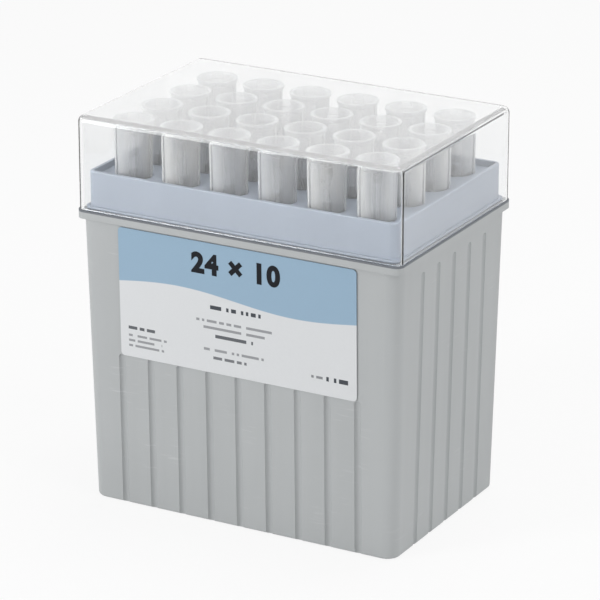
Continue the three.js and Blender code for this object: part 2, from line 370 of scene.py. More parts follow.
    def round_edges(self, test: Callable[[Corner], bool], radius: float, steps: int) -> None:
        """Rounds the edges that pass a test.

        Args:
            test: Takes an edge and says whether it is wanted.
            radius: The radius of the rounding.
            steps: How many facets make it.
        """
        with self.editing():
            self.pick(Pick.EDGES, test)
            bpy.ops.mesh.bevel(offset=radius, segments=steps, profile=0.5, affect="EDGES")

    def _apply(self, kind: str, **settings: object) -> "Workpiece":
        """Adds a modifier and applies it.

        Args:
            kind: The modifier's type.
            **settings: Its settings.

        Returns:
            This workpiece.
        """
        step = self.obj.modifiers.new("step", kind)
        for name, value in settings.items():
            setattr(step, name, value)
        choose_only(self.obj)
        bpy.ops.object.modifier_apply(modifier=step.name)
        return self

    def weld(self, tool: "Workpiece", how: Weld) -> "Workpiece":
        """Adds another solid to this one or cuts it away. The other one is used up.

        Args:
            tool: The solid that is added or cut away.
            how: Which of the two.

        Returns:
            This workpiece.
        """
        self._apply("BOOLEAN", operation=how.value, solver="EXACT", object=tool.obj)
        tool.discard()
        return self

    def copy(self, name: str, place: Matrix) -> "Workpiece":
        """A copy with a mesh of its own, moved or turned.

        Args:
            name: The copy's name.
            place: Where the copy goes, from where this workpiece is.

        Returns:
            The copy.
        """
        choose_only(self.obj)
        bpy.ops.object.duplicate(linked=False)
        bpy.context.active_object.matrix_world = place
        return Workpiece.fresh(name)

    def copies(self, name: str, places: Iterable[Matrix]) -> list["Workpiece"]:
        """A copy at each of several places. This workpiece is used up.

        Args:
            name: The copies' name.
            places: Where each copy goes.

        Returns:
            The copies.
        """
        made = [self.copy(name, place) for place in places]
        self.discard()
        return made

    def discard(self) -> None:
        """Takes this workpiece off the bench."""
        bpy.data.objects.remove(self.obj, do_unlink=True)

    def join(self, others: list["Workpiece"]) -> "Workpiece":
        """Takes other workpieces into this object, each as a shell of its own.

        Args:
            others: The workpieces, which are used up.

        Returns:
            This workpiece.
        """
        choose_only(self.obj)
        for other in others:
            other.obj.select_set(True)
        bpy.ops.object.join()
        return self

    def soften(self, radius: float, angle: float = 28) -> "Workpiece":
        """Rounds every edge sharper than an angle.

        Args:
            radius: The width of the rounding.
            angle: The least angle between two faces, in degrees.

        Returns:
            This workpiece.
        """
        return self._apply(
            "BEVEL",
            width=radius,
            segments=2,
            limit_method="ANGLE",
            angle_limit=math.radians(angle),
            use_clamp_overlap=True,
            miter_outer="MITER_ARC",
        )

    def polish(self, angle: float = 32) -> "Workpiece":
        """Shades the workpiece smooth up to an angle, with flat faces kept flat.

        Args:
            angle: The least angle that still shows as an edge, in degrees.

        Returns:
            This workpiece.
        """
        choose_only(self.obj)
        bpy.ops.object.shade_smooth_by_angle(angle=math.radians(angle))
        return self._apply("WEIGHTED_NORMAL", keep_sharp=True)

    def hand_over(
        self, finish: bpy.types.Material, body: Body, slot: Slot, *nodes: str
    ) -> bpy.types.Object:
        """Dresses the finished piece, hangs it on its body and hides the nodes that it stands for.

        Args:
            finish: Its material.
            body: What it rides on.
            slot: The record's slot that its finish belongs to. Not used.
            *nodes: The nodes that it stands for.

        Returns:
            The object.
        """
        self.obj.data.materials.append(finish)
        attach(self.obj, body.value)
        if nodes:
            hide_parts(*nodes)
        LOG.info("%s: %d faces on %s", self.obj.name, len(self.obj.data.polygons), body.value)
        return self.obj


# ------------------------------------------------------------------------------- finishes


def ink(red: int, green: int, blue: int) -> Colour:
    """A display colour as the linear colour that shaders take.

    Args:
        red: Its red, 0 to 255.
        green: Its green.
        blue: Its blue.

    Returns:
        The linear colour.
    """

    def linear(value: float) -> float:
        """One channel's linear value."""
        return value / 12.92 if value <= 0.04045 else ((value + 0.055) / 1.055) ** 2.4

    return (linear(red / 255), linear(green / 255), linear(blue / 255), 1.0)


class Signal:
    """A number that varies over a surface, on which sums are written as plain expressions."""

    def __init__(self, recipe: "Recipe", socket: bpy.types.NodeSocket) -> None:
        """Wraps a node's output."""
        self.recipe = recipe
        self.socket = socket

    def _sum(self, operation: str, first: Amount, second: Amount = 0.0) -> "Signal":
        """One Math node on two values."""
        return self.recipe.node("ShaderNodeMath", {"operation": operation}, {0: first, 1: second})

    def __add__(self, other: Amount) -> "Signal":
        """This plus other."""
        return self._sum("ADD", self, other)

    __radd__ = __add__

    def __mul__(self, other: Amount) -> "Signal":
        """This times other."""
        return self._sum("MULTIPLY", self, other)

    __rmul__ = __mul__

    def __sub__(self, other: Amount) -> "Signal":
        """This minus other."""
        return self._sum("SUBTRACT", self, other)

    def __rsub__(self, other: Amount) -> "Signal":
        """Other minus this."""
        return self._sum("SUBTRACT", other, self)

    def above(self, other: Amount) -> "Signal":
        """1 where this is more than other, and 0 elsewhere."""
        return self._sum("GREATER_THAN", self, other)

    def size(self) -> "Signal":
        """This without its sign."""
        return self._sum("ABSOLUTE", self)

    def sine(self) -> "Signal":
        """The sine of this, in radians."""
        return self._sum("SINE", self)

    def whole(self) -> "Signal":
        """The whole number at or under this."""
        return self._sum("FLOOR", self)

    def between(self, low: float, high: float) -> "Signal":
        """1 where this lies between two values, and 0 elsewhere."""
        return self.above(low) * (1 - self.above(high))

    def step(self, start: float, end: float) -> "Signal":
        """A smooth step.

        Args:
            start: Where it leaves 0.
            end: Where it reaches 1.

        Returns:
            The step.
        """
        return self.recipe.node(
            "ShaderNodeMapRange",
            {"interpolation_type": "SMOOTHSTEP"},
            {"Value": self, "From Min": start, "From Max": end},
        )


class Recipe:
    """The nodes of a material or of the world."""

    def __init__(self, owner: bpy.types.Material | bpy.types.World, output: str) -> None:
        """Clears the owner's nodes and leaves only an output.

        Args:
            owner: The material or the world.
            output: The type of its output node.
        """
        owner.use_nodes = True
        self.owner = owner
        self.tree = owner.node_tree
        self.tree.nodes.clear()
        self.output = self.tree.nodes.new(output)

    @classmethod
    def material(cls, name: str) -> "Recipe":
        """Starts a new material."""
        return cls(bpy.data.materials.new(name), "ShaderNodeOutputMaterial")

    @classmethod
    def world(cls, name: str) -> "Recipe":
        """Starts a new world."""
        return cls(bpy.data.worlds.new(name), "ShaderNodeOutputWorld")

    def node(
        self,
        kind: str,
        settings: dict[str, object] | None = None,
        sockets: dict[str | int, object] | None = None,
        output: str | int = 0,
    ) -> Signal:
        """Adds a node.

        Args:
            kind: The node's type.
            settings: Its settings, which are set first.
            sockets: The values or signals of its inputs, by name or number.
            output: Which output to return.

        Returns:
            The node's output as a signal.
        """
        made = self.tree.nodes.new(kind)
        for key, value in (settings or {}).items():
            setattr(made, key, value)
        for key, value in (sockets or {}).items():
            if isinstance(value, Signal):
                self.tree.links.new(value.socket, made.inputs[key])
            else:
                made.inputs[key].default_value = value
        return Signal(self, made.outputs[output])

    def place(self) -> Signal:
        """The point on the piece, in metres."""
        return self.node("ShaderNodeTexCoord", output="Object")

    def axis(self, name: str) -> Signal:
        """One of the point's coordinates, X, Y or Z."""
        return self.node("ShaderNodeSeparateXYZ", sockets={0: self.place()}, output=name)

    def noise(
        self, scale: float, detail: float = 2.0, stretch: tuple[float, float, float] = (1, 1, 1)
    ) -> Signal:
        """Soft noise over the piece.

        Args:
            scale: How many blotches there are to a metre.
            detail: How many finer layers it has.
            stretch: The scale's factor along each axis.

        Returns:
            The noise, from 0 to 1.
        """
        point = self.node("ShaderNodeMapping", sockets={"Vector": self.place(), "Scale": stretch})
        return self.node(
            "ShaderNodeTexNoise", sockets={"Vector": point, "Scale": scale, "Detail": detail}
        )

    def blend(self, share: Amount, first: "Signal | Colour", second: "Signal | Colour") -> Signal:
        """A mix of two colours.

        Args:
            share: How much of the second there is.
            first: The first colour.
            second: The second colour.

        Returns:
            The mixed colour.
        """
        return self.node("ShaderNodeMix", {"data_type": "RGBA"}, {0: share, 6: first, 7: second}, 2)

    def bump(self, height: Signal, depth: float) -> Signal:
        """A normal that follows a height.

        Args:
            height: The height, from 0 to 1.
            depth: How deep 1 is, in metres.

        Returns:
            The normal.
        """
        return self.node("ShaderNodeBump", sockets={"Height": height, "Distance": depth})

    def shader(self, kind: str, sockets: dict[str | int, object]) -> Signal:
        """Adds a shader node with the values or signals of its sockets."""
        return self.node(kind, sockets=sockets)

    def surface(self, sockets: dict[str | int, object]) -> Signal:
        """A Principled shader with the values or signals of its sockets."""
        return self.shader("ShaderNodeBsdfPrincipled", sockets)

    def mix(self, share: Amount, first: Signal, second: Signal) -> Signal:
        """A mix of two shaders, with share of the second."""
        return self.node("ShaderNodeMixShader", sockets={0: share, 1: first, 2: second})

    def finish(self, surface: Signal) -> bpy.types.Material | bpy.types.World:
        """Puts a shader on the output and returns the material or the world."""
        self.tree.links.new(surface.socket, self.output.inputs["Surface"])
        return self.owner


@dataclass(frozen=True)
class PaintedSeamShade:
    """A band of painted shade round a piece where it meets the lid, between two heights: the shadow
    in the gap under the lid's edge, painted into the colour, with a little dust.

    Attributes:
        low: Its lower edge.
        high: Its upper edge.
        reach: How far out along X and along Y it starts.
        colour: The painted shade.
        soft: How far each edge fades.
    """

    low: float
    high: float
    reach: tuple[float, float]
    colour: Colour
    soft: float = 0.3 * MM

    def share(self, recipe: "Recipe") -> Signal:
        """How much of the painted shade there is, from 0 to 1.

        Args:
            recipe: The material that it is for.

        Returns:
            The share.
        """
        height = recipe.axis("Z")
        rise = height.step(self.low, self.low + self.soft)
        fall = height.step(self.high - self.soft, self.high)
        inside: Amount = 1.0
        for name, reach in zip("XY", self.reach):
            inside = (1 - recipe.axis(name).size().step(reach, reach + self.soft)) * inside
        return rise * (1 - fall) * (1 - inside)


@dataclass(frozen=True)
class MouldedPlastic:
    """Opaque moulded plastic with a fine grain, flow lines, soft blotches, light scuffs and painted
    seam shade.
    """

    name: str
    colour: Colour
    pale: Colour
    scuffed: Colour
    # a band of painted shade where the lid meets the piece
    seam_shade: PaintedSeamShade
    roughness: float
    grain_scale: float = 2600.0
    grain_depth: float = 0.02 * MM
    flow_scale: float = 90.0
    blotch_scale: float = 22.0
    patch_scale: float = 34.0
    scuff_scale: float = 900.0
    scuff_share: float = 0.55

    def make(self) -> bpy.types.Material:
        """Builds the material.

        Returns:
            The material.
        """
        recipe = Recipe.material(self.name)
        blotch = recipe.noise(self.blotch_scale, 3)
        flow = recipe.noise(self.flow_scale, 3, (1, 1, 0.06))
        grain = recipe.noise(self.grain_scale, 1)
        share = 0.5 * blotch + 0.5 * flow
        colour = recipe.blend(share.step(0.3, 0.7), self.colour, self.pale)
        patch = recipe.noise(self.patch_scale, 2).step(0.5, 0.72)
        scuff = recipe.noise(self.scuff_scale, 2, (0.09, 0.09, 1)).step(0.6, 0.74) * patch
        colour = recipe.blend(scuff * self.scuff_share, colour, self.scuffed)
        # paints the shade of the gap under the lid into the colour
        colour = recipe.blend(self.seam_shade.share(recipe), colour, self.seam_shade.colour)
        uneven = 0.16 * (blotch - 0.5) + 0.06 * (grain - 0.5)
        surface = {
            "Base Color": colour,
            "Roughness": self.roughness + uneven + 0.12 * scuff,
            "IOR": PLASTIC_IOR,
            "Normal": recipe.bump(grain, self.grain_depth),
        }
        return recipe.finish(recipe.surface(surface))


@dataclass(frozen=True)
class ClearPlastic:
    """Clear glossy moulded plastic, whose top face has a fine frosting. Lamps shine through it."""

    frosted_above: float
    name: str = "clear_lid_plastic"
    tint: Colour = (0.982, 0.986, 0.988, 1.0)
    shade: Colour = (0.95, 0.955, 0.96, 1.0)
    frost: Colour = (0.93, 0.93, 0.93, 1.0)
    frost_share: float = 0.2
    gloss: float = 0.03
    ripple_scale: float = 38.0
    ripple_depth: float = 0.05 * MM
    grain_scale: float = 500.0
    grain_depth: float = 0.02 * MM

    def make(self) -> bpy.types.Material:
        """Builds the material.

        Returns:
            The material.
        """
        recipe = Recipe.material(self.name)
        ripple = recipe.noise(self.ripple_scale, 2)
        glass = {
            "Base Color": self.tint,
            "Roughness": self.gloss,
            "IOR": PLASTIC_IOR,
            "Transmission Weight": 1.0,
            "Normal": recipe.bump(ripple, self.ripple_depth),
        }
        grain = recipe.noise(self.grain_scale, 3)
        haze = {
            "Base Color": self.frost,
            "Roughness": 0.5,
            "Normal": recipe.bump(grain, self.grain_depth),
        }
        top = recipe.axis("Z").above(self.frosted_above)
        share = top * (self.frost_share + 0.05 * (grain - 0.5) + 0.06 * (ripple - 0.5))
        solid = recipe.mix(share, recipe.surface(glass), recipe.surface(haze))
        through = recipe.shader("ShaderNodeBsdfTransparent", {"Color": self.shade})
        lamp_ray = recipe.node("ShaderNodeLightPath", output="Is Shadow Ray")
        return recipe.finish(recipe.mix(lamp_ray, solid, through))


@dataclass(frozen=True)
class TipPlastic:
    """Natural translucent plastic: clearer where it is seen square on, milky towards its edges."""

    name: str = "natural_tip_plastic"
    colour: Colour = ink(216, 216, 215)
    deep: Colour = ink(198, 200, 203)
    cloud_scale: float = 160.0
    cloud_depth: float = 0.03 * MM
    edge_blend: float = 0.42
    least_cover: float = 0.3
    edge_cover: float = 0.6

    def make(self) -> bpy.types.Material:
        """Builds the material.

        Returns:
            The material.
        """
        recipe = Recipe.material(self.name)
        cloud = recipe.noise(self.cloud_scale, 2, (1, 1, 0.15))
        blend = {"Blend": self.edge_blend}
        edge = recipe.node("ShaderNodeLayerWeight", sockets=blend, output="Facing")
        surface = {
            "Base Color": recipe.blend(cloud.step(0.35, 0.65), self.colour, self.deep),
            "Roughness": 0.22 + 0.12 * cloud,
            "IOR": PLASTIC_IOR,
            "Specular IOR Level": 0.8,
            "Alpha": self.least_cover + self.edge_cover * edge,
            "Normal": recipe.bump(cloud, self.cloud_depth),
        }
        return recipe.finish(recipe.surface(surface))


@dataclass(frozen=True)
class PrintLine:
    """A line of fine print, as shares of the label's width and height.

    Attributes:
        left: Where it starts.
        right: Where it ends.
        middle: How far down it is.
        size: How tall its bars are.
        weight: How dark it is, from 0 to 1.
    """

    left: float
    right: float
    middle: float
    size: float
    weight: float


@dataclass(frozen=True)
class LabelPaper:
    """Coated paper with a blue field, whose lower edge waves, and fine print as plain bars."""

    left: float
    top: float
    width: float
    height: float
    name: str = "label_paper"
    paper: Colour = ink(216, 218, 220)
    field: Colour = ink(146, 174, 196)
    print_ink: Colour = ink(52, 58, 66)
    fibre_ink: Colour = ink(120, 120, 118)
    fibre_scale: float = 900.0
    fibre_depth: float = 0.015 * MM
    field_drop: float = 0.416
    field_wave: float = 0.042
    cells: int = 96
    gap_share: float = 0.22
    lines: tuple[PrintLine, ...] = (
        PrintLine(0.39, 0.61, 0.49, 0.030, 1.0),
        PrintLine(0.33, 0.65, 0.60, 0.020, 0.6),
        PrintLine(0.36, 0.62, 0.65, 0.020, 0.6),
        PrintLine(0.41, 0.57, 0.71, 0.026, 0.9),
        PrintLine(0.36, 0.62, 0.82, 0.020, 0.6),
        PrintLine(0.40, 0.58, 0.88, 0.022, 0.8),
        PrintLine(0.035, 0.15, 0.77, 0.024, 0.9),
        PrintLine(0.035, 0.20, 0.83, 0.018, 0.6),
        PrintLine(0.035, 0.18, 0.87, 0.018, 0.6),
        PrintLine(0.035, 0.20, 0.91, 0.018, 0.6),
        PrintLine(0.80, 0.86, 0.87, 0.020, 0.7),
        PrintLine(0.875, 0.965, 0.87, 0.034, 1.0),
    )

    def make(self) -> bpy.types.Material:
        """Builds the material.

        Returns:
            The material.
        """
        recipe = Recipe.material(self.name)
        across = (recipe.axis("X") - self.left) * (1 / self.width)
        down = (self.top - recipe.axis("Z")) * (1 / self.height)
        wave = self.field_drop - self.field_wave * (across * (2 * math.pi)).sine()
        field = 1 - (down - wave).step(-0.003, 0.003)
        fibre = recipe.noise(self.fibre_scale, 3)
        colour = recipe.blend(field, self.paper, self.field)
        colour = recipe.blend(self._print(recipe, across, down), colour, self.print_ink)
        surface = {
            "Base Color": recipe.blend(0.05 * fibre, colour, self.fibre_ink),
            "Roughness": 0.42 + 0.12 * fibre,
            "IOR": 1.45,
            "Normal": recipe.bump(fibre, self.fibre_depth),
        }
        return recipe.finish(recipe.surface(surface))

    def _print(self, recipe: Recipe, across: Signal, down: Signal) -> Signal:
        """The fine print: lines of bars, cut into words.

        Args:
            recipe: The material that is being built.
            across: 0 at the label's left edge and 1 at its right edge.
            down: 0 at its top and 1 at its bottom.

        Returns:
            How much ink there is, from 0 to 1.
        """
        marks: Amount = 0.0
        for number, line in enumerate(self.lines):
            place = {0: (across * self.cells).whole(), 1: number}
            cell = recipe.node("ShaderNodeCombineXYZ", sockets=place)
            chance = recipe.node("ShaderNodeTexWhiteNoise", sockets={"Vector": cell})
            bar = down.between(line.middle - line.size / 2, line.middle + line.size / 2)
            bar = bar * across.between(line.left, line.right)
            marks = marks + line.weight * bar * chance.above(self.gap_share)
        return marks


@dataclass(frozen=True)
class PrintInk:
    """Matt dark ink."""

    name: str = "dark_ink"
    colour: Colour = ink(14, 16, 22)
    speckled: Colour = ink(48, 50, 56)
    speck_scale: float = 1400.0

    def make(self) -> bpy.types.Material:
        """Builds the material.

        Returns:
            The material.
        """
        recipe = Recipe.material(self.name)
        speck = recipe.noise(self.speck_scale, 2)
        surface = {
            "Base Color": recipe.blend(0.3 * speck, self.colour, self.speckled),
            "Roughness": 0.5 + 0.15 * speck,
            "Specular IOR Level": 0.15,
        }
        return recipe.finish(recipe.surface(surface))


# ------------------------------------------------------------------------------- the pieces


@dataclass(frozen=True)
class Hinge:
    """The lid's two hinges: the sizes that their posts and their knuckles share."""

    axis: Vector
    places: tuple[float, float] = (-45.0 * MM, 45.0 * MM)
    pin_radius: float = 1.5 * MM
    knuckle_radius: float = 3.2 * MM


@dataclass
class BaseBox:
    """The grey box: a drafted tub with a flange, grooves on its faces and the hinge posts."""

    rim: float
    hinge: Hinge
    wall: float = 2.3 * MM
    floor: float = 2.5 * MM
    corner: float = 6.0 * MM
    draft: float = 2.4 * MM
    ledge: float = 1.2 * MM
    flange_thickness: float = 3.5 * MM
    flange_corner: float = 3.5 * MM
    groove_pitch: float = 13.5 * MM
    groove_width: float = 3.2 * MM
    groove_depth: float = 1.1 * MM
    groove_top_gap: float = 5.0 * MM
    front_grooves: int = 9
    side_grooves: int = 5
    foot_edge: float = 1.2 * MM
    softness: float = 0.45 * MM
    ear_width: float = 3.0 * MM
    ear_offset: float = 7.0 * MM
    ear_inset: float = 0.5 * MM
    ear_softness: float = 0.25 * MM
    ear_slope: float = 60.0

    def __post_init__(self) -> None:
        """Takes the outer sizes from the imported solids."""
        base = Place.of("base_box")
        self.flange = Vector((base.high.x, -base.low.y))
        self.body = self.flange - Vector((self.ledge, self.ledge))
        self.label_bottom = Place.of("label").low.z

    def build(self, finish: bpy.types.Material) -> bpy.types.Object:
        """Models the base and dresses it.

        Args:
            finish: Its plastic.

        Returns:
            The finished piece.
        """
        tub = self._tub()
        tub.weld(self._grooves(), Weld.CUT)
        tub.soften(self.softness)
        tub.join([self._post(x) for x in self.hinge.places]).polish()
        return tub.hand_over(finish, Body.BOX, Slot.BASE, "base_box")

    def _tub(self) -> Workpiece:
        """The tub with its flange and its hollow.

        Returns:
            The workpiece.
        """
        tub = Workpiece.rounded_block("base_shell", self.body, 0, self.rim, self.corner)
        self._lean_in(tub, 0, self.body)
        tub.round_edges(lies_at(0), self.foot_edge, 3)
        low = self.rim - self.flange_thickness
        flange = Workpiece.rounded_block(
            "flange", self.flange, low, self.rim, self.flange_corner, 8
        )
        tub.weld(flange, Weld.ADD)
        inside = self.body - Vector((self.wall, self.wall))
        above, corner = self.rim + OVERCUT, self.corner - self.wall
        hollow = Workpiece.rounded_block("hollow", inside, self.floor, above, corner, 8)
        self._lean_in(hollow, self.floor, inside)
        return tub.weld(hollow, Weld.CUT)

    def _lean_in(self, shape: Workpiece, height: float, half: Vector) -> None:
        """Draws the foot of a shape in by the draft."""
        shape.resize_at(height, 1 - self.draft / half.x, 1 - self.draft / half.y)

    def _grooves(self) -> Workpiece:
        """One tool with all the grooves, each a bar with a domed top.

        Returns:
            The workpiece.
        """
        half = self.groove_width / 2
        radius = (half**2 + self.groove_depth**2) / (2 * self.groove_depth)
        lean = math.atan(self.draft / self.rim)
        plain = self.rim - self.flange_thickness - self.groove_top_gap
        faces = (
            (0, self.body.y, self.front_grooves, self.label_bottom),
            (180, self.body.y, self.front_grooves, plain),
            (90, self.body.x, self.side_grooves, plain),
            (-90, self.body.x, self.side_grooves, plain),
        )
        group: list[Workpiece] = []
        for turn, offset, count, top in faces:
            reach = top - self.rim
            bar = Workpiece.rod(
                "bar", radius, (0, 0, -self.rim - 2 * OVERCUT), (0, 0, reach), 28
            )
            bar.round_edges(lies_at(reach), radius * 0.8, 5)
            group += bar.copies(
                "groove",
                [
                    Matrix.Rotation(math.radians(turn), 4, "Z")
                    @ Matrix.Translation(
                        ((i - (count - 1) / 2) * self.groove_pitch, -offset, self.rim)
                    )
                    @ Matrix.Rotation(lean, 4, "X")
                    @ Matrix.Translation((0, self.groove_depth - radius, 0))
                    for i in range(count)
                ],
            )
        return group[0].join(group[1:])

    def _post(self, x: float) -> Workpiece:
        """The pin and the two ears of one hinge.

        Args:
            x: The middle of the hinge.

        Returns:
            The workpiece.
        """
        y, z, radius = self.hinge.axis.y, self.hinge.axis.z, self.hinge.knuckle_radius
        foot = self.rim - self.flange_thickness + self.ear_inset
        slope = math.radians(self.ear_slope)
        ears: list[Workpiece] = []
        for side in (-1, 1):
            left = x + side * self.ear_offset - self.ear_width / 2
            right = left + self.ear_width
            ear = Workpiece.rod("ear", radius, (left, y, z), (right, y, z), 36)
            stem = Workpiece.block("stem", (left, y - radius, foot), (right, y, z))
            with stem.editing():
                stem.pick(
                    Pick.EDGES,
                    lambda e: all(v.co.y > y - TOUCH and v.co.z > z - TOUCH for v in e.verts),
                )
                slide = (0, radius * math.cos(slope), -radius * math.sin(slope))
                bpy.ops.transform.translate(value=slide)
            root = Workpiece.block(
                "ear_root",
                (left, self.flange.y - OVERCUT, foot),
                (right, y - radius + self.ear_inset, self.rim - self.ear_inset),
            )
            ear.weld(stem, Weld.ADD).weld(root, Weld.ADD).soften(self.ear_softness)
            ears.append(ear)
        start, end = (x - self.ear_offset, y, z), (x + self.ear_offset, y, z)
        return Workpiece.rod("pin", self.hinge.pin_radius, start, end, 32).join(ears)


@dataclass
class TipTray:
    """The pale tray: a wall with a skirt, a lip on the rim and a floor with 24 holes."""

    rim: float
    floor_top: float
    tips: list[Vector]
    wall: float = 1.6 * MM
    floor: float = 2.2 * MM
    lip: float = 1.2 * MM
    lip_proud: float = 1.2 * MM
    corner: float = 2.9 * MM
    hole_radius: float = 7.75 * MM
    top_edge: float = 0.5 * MM
    softness: float = 0.4 * MM

    def build(self, finish: bpy.types.Material) -> bpy.types.Object:
        """Models the tray and dresses it.

        Args:
            finish: Its plastic.

        Returns:
            The finished piece.
        """
        place = Place.of("tip_tray")
        lip = Vector((place.high.x, place.high.y))
        half = lip - Vector((self.lip_proud, self.lip_proud))
        low, high = place.low.z, place.high.z
        tray = Workpiece.rounded_block("tray_shell", half, low, high, self.corner)
        tray.round_edges(lies_at(high), self.top_edge, 3)
        lip_low = self.rim + SEAT
        ledge = Workpiece.rounded_block("lip", lip, lip_low, lip_low + self.lip, self.corner)
        tray.weld(ledge, Weld.ADD)
        tray.hollow(high, self.wall - self.top_edge, self.floor_top - high)
        under = self.floor_top - self.floor
        tray.hollow(low, self.wall, under - low)
        tray.weld(self._drills(), Weld.CUT)
        tray.soften(self.softness).polish()
        return tray.hand_over(finish, Body.BOX, Slot.TRAY, "tip_tray")

    def _drills(self) -> Workpiece:
        """One tool with all the holes.

        Returns:
            The workpiece.
        """
        low, high = self.floor_top - 2 * self.floor, self.floor_top + self.floor
        drill = Workpiece.rod("drill", self.hole_radius, (0, 0, low), (0, 0, high), 48)
        bits = drill.copies("bit", [Matrix.Translation((p.x, p.y, 0)) for p in self.tips])
        return bits[0].join(bits[1:])


@dataclass
class ClearLid:
    """The clear lid: a cover with rounded edges and two C-shaped knuckles with heels."""

    hinge: Hinge
    wall: float = 1.4 * MM
    top: float = 1.6 * MM
    corner: float = 3.5 * MM
    edge: float = 2.8 * MM
    inner_edge: float = 0.6 * MM
    softness: float = 0.2 * MM
    pin_clearance: float = 0.35 * MM
    knuckle_width: float = 10.0 * MM
    slot_width: float = 2.4 * MM
    heel_thickness: float = 1.8 * MM

    def build(self, finish: bpy.types.Material) -> bpy.types.Object:
        """Models the lid and dresses it.

        Args:
            finish: Its plastic.

        Returns:
            The finished piece.
        """
        place = Place.of("lid")
        half = Vector((place.high.x, -place.low.y))
        low, high = place.low.z, place.high.z
        cover = Workpiece.rounded_block("lid_cover", half, low, high, self.corner)
        cover.round_edges(lies_at(high), self.edge, 5)
        inside, ceiling = half - Vector((self.wall, self.wall)), high - self.top
        inner = Workpiece.rounded_block(
            "lid_hollow", inside, low - OVERCUT, ceiling, self.corner - self.wall
        )
        inner.round_edges(lies_at(ceiling), self.inner_edge, 3)
        cover.weld(inner, Weld.CUT)
        for x in self.hinge.places:
            cover.weld(self._knuckle(x, half.y, place.high.y), Weld.ADD)
        cover.soften(self.softness).polish()
        return cover.hand_over(finish, Body.LID, Slot.LID, "lid")

    def _knuckle(self, x: float, wall_y: float, heel_end: float) -> Workpiece:
        """One knuckle with its web and its heel.

        Args:
            x: The middle of the hinge.
            wall_y: The outside of the lid's back wall.
            heel_end: How far back the heel reaches.

        Returns:
            The workpiece.
        """
        y, z, radius = self.hinge.axis.y, self.hinge.axis.z, self.hinge.knuckle_radius
        left, right = x - self.knuckle_width / 2, x + self.knuckle_width / 2
        half_heel, half_slot = self.heel_thickness / 2, self.slot_width / 2
        bore = self.hinge.pin_radius + self.pin_clearance
        knuckle = Workpiece.rod("knuckle", radius, (left, y, z), (right, y, z), 40)
        web_low = (left, wall_y - self.wall / 2, z)
        web = Workpiece.block("web", web_low, (right, y, z + radius))
        heel_low = (left, y + self.hinge.pin_radius, z - half_heel)
        heel = Workpiece.block("heel", heel_low, (right, heel_end, z + half_heel))
        left, right = left - OVERCUT, right + OVERCUT
        drill = Workpiece.rod("bore", bore, (left, y, z), (right, y, z), 40)
        slot_low = (left, y - half_slot, z - radius - OVERCUT)
        slot = Workpiece.block("slot", slot_low, (right, y + half_slot, z))
        knuckle.weld(web, Weld.ADD).weld(heel, Weld.ADD)
        return knuckle.weld(drill, Weld.CUT).weld(slot, Weld.CUT)


@dataclass
class TipSet:
    """The 24 tips: each a thin turned wall with a rim, ribs, two sealing grooves and a nose."""

    nodes: list[str]
    rim_radius: float = 8.6 * MM
    head_radius: float = 7.93 * MM
    shoulder_radius: float = 7.5 * MM
    body_radius: float = 7.23 * MM
    neck_radius: float = 4.58 * MM
    end_radius: float = 1.25 * MM
    neck_depth: float = 118.7 * MM
    head_wall: float = 1.0 * MM
    body_wall: float = 0.75 * MM
    end_wall: float = 0.5 * MM
    rib_radius: float = 8.4 * MM
    rib_width: float = 1.0 * MM
    rib_drop: float = 1.0 * MM
    ribs: int = 6
    sides: int = 40

    def build(self, finish: bpy.types.Material) -> list[bpy.types.Object]:
        """Models one tip, copies it to each place and dresses the copies.

        Args:
            finish: Their plastic.

        Returns:
            The finished pieces.
        """
        first = Place.of(self.nodes[0])
        pattern = self._tip(first.high.z, first.high.z - first.low.z)
        made = []
        for node in self.nodes:
            middle = Place.of(node).middle
            tip = pattern.copy(f"{node}_shell", Matrix.Translation((middle.x, middle.y, 0)))
            made.append(tip.hand_over(finish, Body.BOX, Slot.TIPS, node))
        pattern.discard()
        return made

    def _tip(self, top: float, length: float) -> Workpiece:
        """One tip about the Z axis.

        Args:
            top: The height of its mouth.
            length: How far it reaches down.

        Returns:
            The workpiece.
        """
        profile = [(r * MM, top - d * MM) for r, d in self._section(length / MM)]
        tip = Workpiece.turned("tip", profile, self.sides)
        half = self.rib_width / 2
        low = (self.shoulder_radius - self.head_wall / 2, -half, top - TIP_HEAD)
        rib = Workpiece.block("rib", low, (self.rib_radius, half, top - self.rib_drop))
        turns = [Matrix.Rotation(i * 2 * math.pi / self.ribs, 4, "Z") for i in range(self.ribs)]
        for turned in rib.copies("rib", turns):
            tip.weld(turned, Weld.ADD)
        return tip.polish(34)

    def _section(self, length: float) -> list[tuple[float, float]]:
        """The wall's section: radius and depth under the mouth, in millimetres.

        Args:
            length: The tip's length, in millimetres.

        Returns:
            The points, down the outside and up the inside.
        """
        rim, head, foot = self.rim_radius / MM, self.head_radius / MM, self.shoulder_radius / MM
        body, neck, end = self.body_radius / MM, self.neck_radius / MM, self.end_radius / MM
        height, deep = TIP_HEAD / MM, self.neck_depth / MM
        bore, foot_bore = head - self.head_wall / MM, foot - self.head_wall / MM
        neck_bore, end_bore = neck - self.body_wall / MM, end - self.end_wall / MM
        outside = [
            (rim - 0.2, 0),
            (rim, 0.2),
            (rim, 0.9),
            (rim - 0.12, 1.1),
            (head + 0.06, 1.9),
            (head, 2.2),
            (foot, height - 0.1),
            (foot - 0.06, height + 0.05),
            (body, height + 0.4),
            (neck + 0.12, deep - 0.5),
            (neck - 0.03, deep + 0.2),
            (end, length - 0.15),
            (end - 0.12, length),
        ]
        inside = [
            (end_bore + 0.1, length),
            (end_bore, length - 0.2),
            (neck_bore - 0.05, deep + 0.4),
            (neck_bore + 0.1, deep - 0.4),
            (foot_bore, height),
        ]
        groove = ((0, 0), (0.14, 0.25), (0.14, 0.45), (0, 0.7))
        for foot_depth in (3.9, 2.75):
            inside += [(bore - sunk, foot_depth - rise) for sunk, rise in groove]
        return outside + inside + [(bore, 0.5), (bore + 0.35, 0)]


